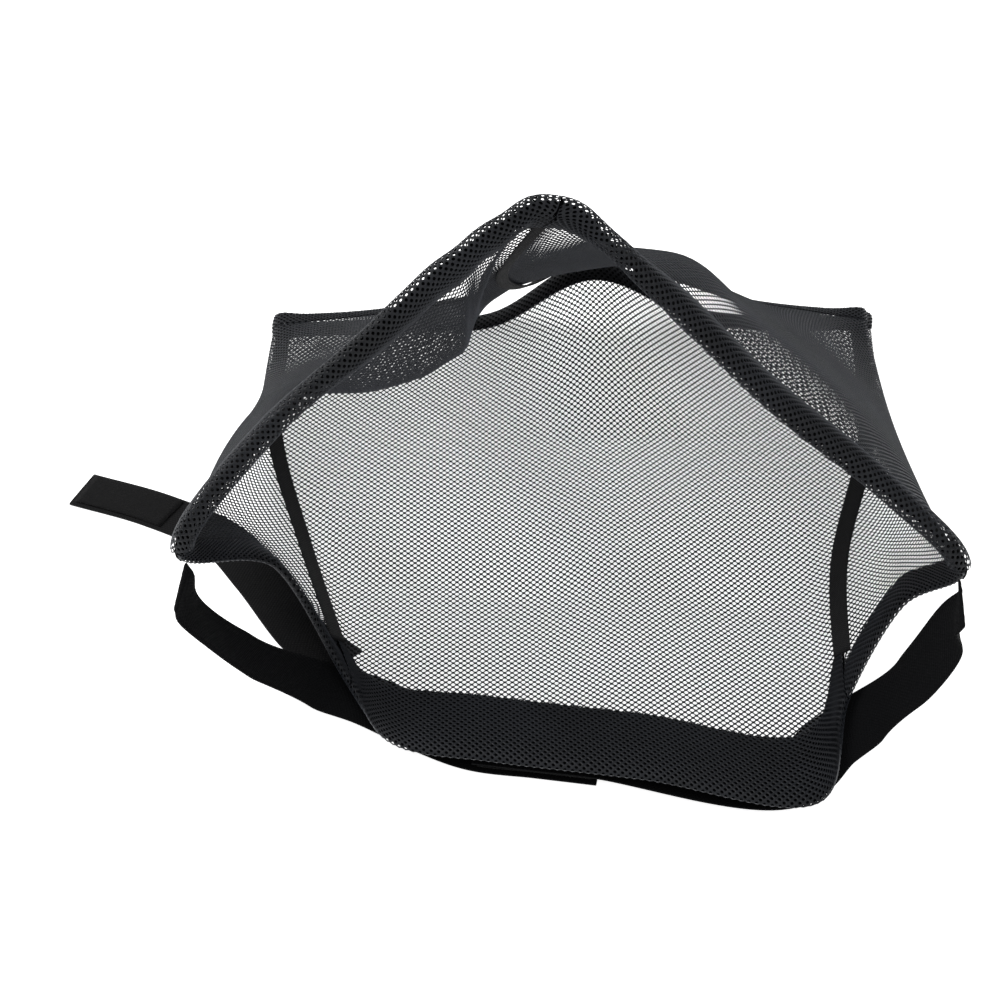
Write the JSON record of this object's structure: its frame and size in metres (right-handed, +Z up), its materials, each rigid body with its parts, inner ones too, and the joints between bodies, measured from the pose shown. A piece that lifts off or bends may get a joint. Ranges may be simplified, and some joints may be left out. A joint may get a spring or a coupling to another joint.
{
  "type": "horse fly mask",
  "caption": "Soft mesh face mask for a horse, open at the crown, ears and nose, with doubled mesh hems and webbing straps that close by hook and loop tape.",
  "frame": {"origin": "on the surface the mask lies on, under the middle of the whole piece", "axes": "+X across the face towards the mask's right ear as it lies, +Y from the brow to the nose, +Z up from the face panel to the throat edge"},
  "size_m": [0.4296, 0.3758, 0.1991],
  "materials": {
    "mesh_fabric": "coated open mesh, soft sheen",
    "hem_mesh": "doubled open mesh, soft sheen",
    "webbing": "matt woven webbing",
    "fastener_tape": "matt hook and loop tape"
  },
  "bodies": {
    "mask": {"cheek_panel_left": "mesh_fabric", "face_panel": "mesh_fabric", "cheek_panel_right": "mesh_fabric", "throat_hem_left": "hem_mesh", "ear_hem_left": "hem_mesh", "brow_hem": "hem_mesh", "ear_hem_right": "hem_mesh", "throat_hem_right": "hem_mesh", "nose_hem_left": "hem_mesh", "nose_hem_face": "hem_mesh", "nose_hem_right": "hem_mesh", "throat_seam_tape": "hem_mesh", "face_seam_tape_left": "hem_mesh", "face_seam_tape_right": "hem_mesh", "crown_tab_left": "webbing", "crown_tab_right": "webbing"},
    "crown_left": {"crown_strap_left": "webbing", "crown_loop_tape": "fastener_tape"},
    "crown_right": {"crown_strap_right": "webbing", "crown_hook_tape": "fastener_tape"},
    "jaw": {"jaw_strap": "webbing", "jaw_hook_tape": "fastener_tape"}
  },
  "joints": [
    {"name": "crown_left_swing", "type": "hinge", "parent": "mask", "child": "crown_left", "pos_m": [-0.1313, -0.11345, 0.0762], "axis": [0, 0, 1], "range_deg": [-80, 0]},
    {"name": "crown_right_swing", "type": "hinge", "parent": "mask", "child": "crown_right", "pos_m": [0.2093, -0.1222, 0.0741], "axis": [0, 0, 1], "range_deg": [0, 80]},
    {"name": "jaw_strap_swing", "type": "hinge", "parent": "mask", "child": "jaw", "pos_m": [-0.0672, -0.08745, 0.0013], "axis": [0, 0, 1], "range_deg": [0, 20]}
  ]
}
